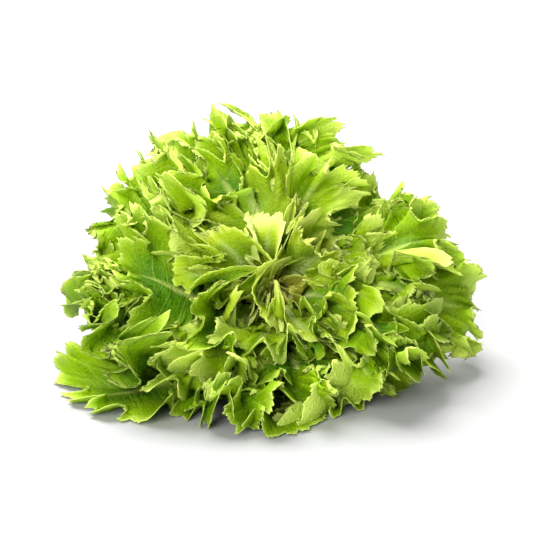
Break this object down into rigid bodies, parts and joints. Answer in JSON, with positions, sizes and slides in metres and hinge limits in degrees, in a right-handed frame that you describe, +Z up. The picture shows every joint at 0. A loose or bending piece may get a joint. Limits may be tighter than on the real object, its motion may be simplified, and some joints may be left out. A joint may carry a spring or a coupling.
{
  "type": "escarole head",
  "caption": "Cut head of curly-leaved escarole lying on its lower leaves and the edge of its core, with its open heart turned forward and up.",
  "frame": {"origin": "bottom centre of the bounding box, on the table plane the head lies on", "axes": "+X to the head's right as seen from the front, along its longest side; -Y the way the open heart faces; +Z up, along its shortest side"},
  "size_m": [0.3084, 0.2222, 0.183],
  "materials": {
    "outer_leaf": "fresh green leaf, frilled, slightly waxy",
    "middle_leaf": "bright yellow-green leaf, frilled, slightly waxy",
    "inner_leaf": "pale yellow blanched leaf, frilled, slightly waxy",
    "core": "pale moist stem with a browned knife cut"
  },
  "bodies": {
    "root": {"core": "core", "heart_bud": "inner_leaf", "outer_leaf_01": "outer_leaf", "outer_leaf_02": "outer_leaf", "outer_leaf_03": "outer_leaf", "outer_leaf_04": "outer_leaf", "outer_leaf_05": "outer_leaf", "outer_leaf_06": "outer_leaf", "outer_leaf_07": "outer_leaf", "outer_leaf_08": "outer_leaf", "outer_leaf_09": "outer_leaf", "outer_leaf_10": "outer_leaf", "outer_leaf_11": "outer_leaf", "outer_leaf_12": "outer_leaf", "outer_leaf_13": "outer_leaf", "outer_leaf_14": "outer_leaf", "outer_leaf_15": "outer_leaf", "outer_leaf_16": "outer_leaf", "outer_leaf_17": "outer_leaf", "outer_leaf_18": "outer_leaf", "outer_leaf_19": "outer_leaf", "outer_leaf_20": "outer_leaf", "outer_leaf_21": "outer_leaf", "outer_leaf_22": "outer_leaf", "outer_leaf_23": "outer_leaf", "outer_leaf_24": "outer_leaf", "middle_leaf_01": "middle_leaf", "middle_leaf_02": "middle_leaf", "middle_leaf_03": "middle_leaf", "middle_leaf_04": "middle_leaf", "middle_leaf_05": "middle_leaf", "middle_leaf_06": "middle_leaf", "middle_leaf_07": "middle_leaf", "middle_leaf_08": "middle_leaf", "middle_leaf_09": "middle_leaf", "middle_leaf_10": "middle_leaf", "middle_leaf_11": "middle_leaf", "middle_leaf_12": "middle_leaf", "middle_leaf_13": "middle_leaf", "middle_leaf_14": "middle_leaf", "middle_leaf_15": "middle_leaf", "middle_leaf_16": "middle_leaf", "middle_leaf_17": "middle_leaf", "middle_leaf_18": "middle_leaf", "inner_leaf_01": "inner_leaf", "inner_leaf_02": "inner_leaf", "inner_leaf_03": "inner_leaf", "inner_leaf_04": "inner_leaf", "inner_leaf_05": "inner_leaf", "inner_leaf_06": "inner_leaf", "inner_leaf_07": "inner_leaf", "inner_leaf_08": "inner_leaf", "inner_leaf_09": "inner_leaf", "inner_leaf_10": "inner_leaf", "inner_leaf_11": "inner_leaf", "inner_leaf_12": "inner_leaf", "inner_leaf_13": "inner_leaf", "inner_leaf_14": "inner_leaf", "inner_leaf_15": "inner_leaf"}
  },
  "joints": []
}
